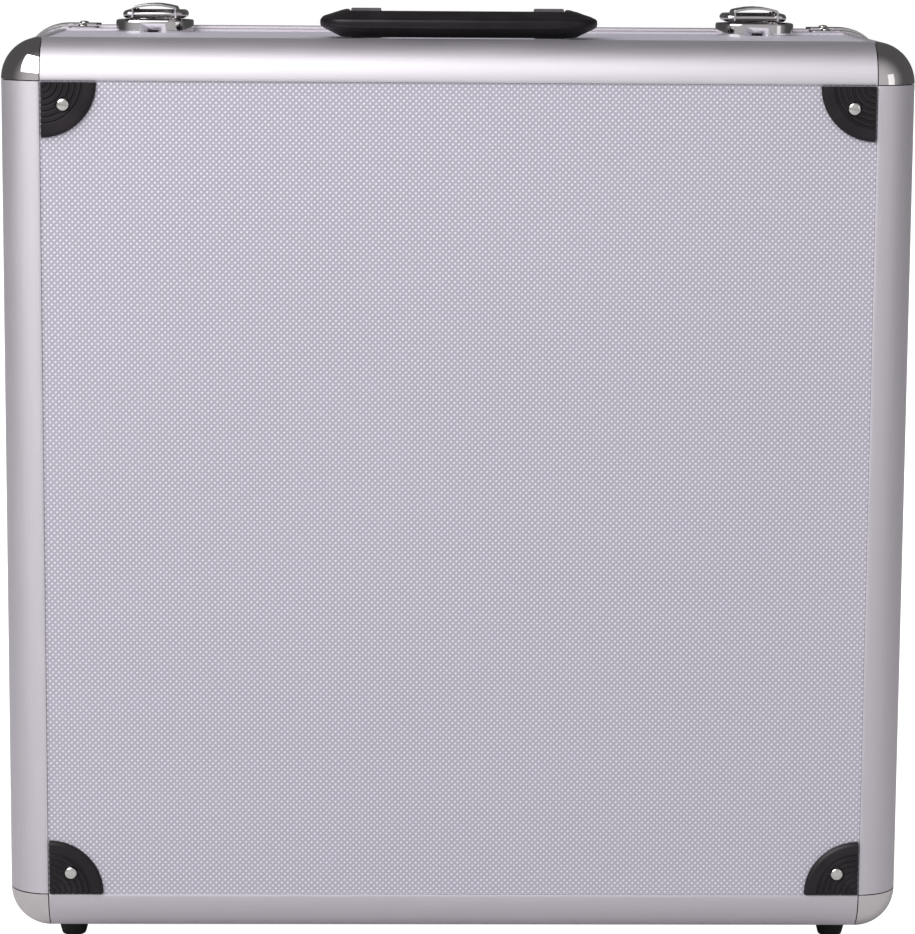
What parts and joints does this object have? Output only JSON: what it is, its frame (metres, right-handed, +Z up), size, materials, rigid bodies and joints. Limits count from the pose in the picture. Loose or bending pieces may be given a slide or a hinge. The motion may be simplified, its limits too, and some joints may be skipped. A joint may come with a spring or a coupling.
{
  "type": "telescope mount case",
  "caption": "Upright aluminium-framed carrying case with a hinged lid, two lever latches, a folding top handle and pocketed foam inside.",
  "frame": {"origin": "on the floor under the middle of the case, at the height of the feet's soles", "axes": "+X to the viewer's right along the case's width, +Y from the front face through the depth to the back, +Z up"},
  "size_m": [0.4576, 0.2458, 0.4739],
  "materials": {
    "laminate_board": "fibreboard faced with dotted silver laminate",
    "satin_aluminium": "satin anodised extrusion",
    "polished_chrome": "polished chrome plate",
    "black_plastic": "moulded black plastic, soft sheen",
    "black_rubber": "matt black rubber",
    "bright_steel": "nickel-plated steel",
    "dark_foam": "charcoal polyurethane foam"
  },
  "bodies": {
    "base": {"base_ball_caps": "polished_chrome", "base_bottom_board": "laminate_board", "base_bottom_rail": "satin_aluminium", "base_bracket_rivets": "bright_steel", "base_corner_brackets": "polished_chrome", "base_corner_pads": "black_plastic", "base_depth_rails": "satin_aluminium", "base_face_board": "laminate_board", "base_feet": "black_rubber", "base_foam_back": "dark_foam", "base_foam_block": "dark_foam", "base_foot_screws": "bright_steel", "base_hinge_leaves": "bright_steel", "base_hinge_rivets": "bright_steel", "base_left_board": "laminate_board", "base_left_rail": "satin_aluminium", "base_pad_rivets": "bright_steel", "base_right_board": "laminate_board", "base_right_rail": "satin_aluminium", "base_seam_frame": "satin_aluminium", "base_top_board": "laminate_board", "base_top_rail": "satin_aluminium", "handle_brackets": "black_plastic", "handle_pins": "bright_steel", "handle_rivets": "bright_steel", "hinge_pins": "bright_steel", "latch_pins": "bright_steel", "latch_plate_left": "polished_chrome", "latch_plate_right": "polished_chrome", "latch_plate_rivets": "polished_chrome"},
    "lid": {"latch_keeper_rivets": "bright_steel", "latch_keepers": "polished_chrome", "lid_ball_caps": "polished_chrome", "lid_bottom_board": "laminate_board", "lid_bottom_rail": "satin_aluminium", "lid_bracket_rivets": "bright_steel", "lid_corner_brackets": "polished_chrome", "lid_corner_pads": "black_plastic", "lid_depth_rails": "satin_aluminium", "lid_face_board": "laminate_board", "lid_feet": "black_rubber", "lid_foam": "dark_foam", "lid_foot_screws": "bright_steel", "lid_hinge_leaves": "bright_steel", "lid_hinge_rivets": "bright_steel", "lid_left_board": "laminate_board", "lid_left_rail": "satin_aluminium", "lid_pad_rivets": "bright_steel", "lid_right_board": "laminate_board", "lid_right_rail": "satin_aluminium", "lid_seam_frame": "satin_aluminium", "lid_top_board": "laminate_board", "lid_top_rail": "satin_aluminium"},
    "handle": {"handle_grip": "black_plastic"},
    "latch_lever_left": {"latch_lever_left": "polished_chrome"},
    "latch_lever_right": {"latch_lever_right": "polished_chrome"},
    "latch_bail_left": {"latch_bail_left": "polished_chrome"},
    "latch_bail_right": {"latch_bail_right": "polished_chrome"}
  },
  "joints": [
    {"name": "lid_hinge", "type": "hinge", "parent": "base", "child": "lid", "pos_m": [0, 0.035, 0.0064], "axis": [-1, 0, 0], "range_deg": [0, 95]},
    {"name": "handle_pivot", "type": "hinge", "parent": "base", "child": "handle", "pos_m": [0, -0.054, 0.46685], "axis": [-1, 0, 0], "range_deg": [0, 180]},
    {"name": "latch_lever_left_pivot", "type": "hinge", "parent": "base", "child": "latch_lever_left", "pos_m": [-0.157, 0.029, 0.4687], "axis": [-1, 0, 0], "range_deg": [0, 100]},
    {"name": "latch_bail_left_pivot", "type": "hinge", "parent": "latch_lever_left", "child": "latch_bail_left", "pos_m": [-0.157, 0.011, 0.468], "axis": [-1, 0, 0], "range_deg": [-55.5, 0]},
    {"name": "latch_lever_right_pivot", "type": "hinge", "parent": "base", "child": "latch_lever_right", "pos_m": [0.157, 0.029, 0.4687], "axis": [-1, 0, 0], "range_deg": [0, 100]},
    {"name": "latch_bail_right_pivot", "type": "hinge", "parent": "latch_lever_right", "child": "latch_bail_right", "pos_m": [0.157, 0.011, 0.468], "axis": [-1, 0, 0], "range_deg": [-55.5, 0]}
  ],
  "couplings": [
    {"joint": "latch_bail_left_pivot", "follows": "latch_lever_left_pivot", "ratio": -0.55},
    {"joint": "latch_bail_right_pivot", "follows": "latch_lever_right_pivot", "ratio": -0.55}
  ]
}
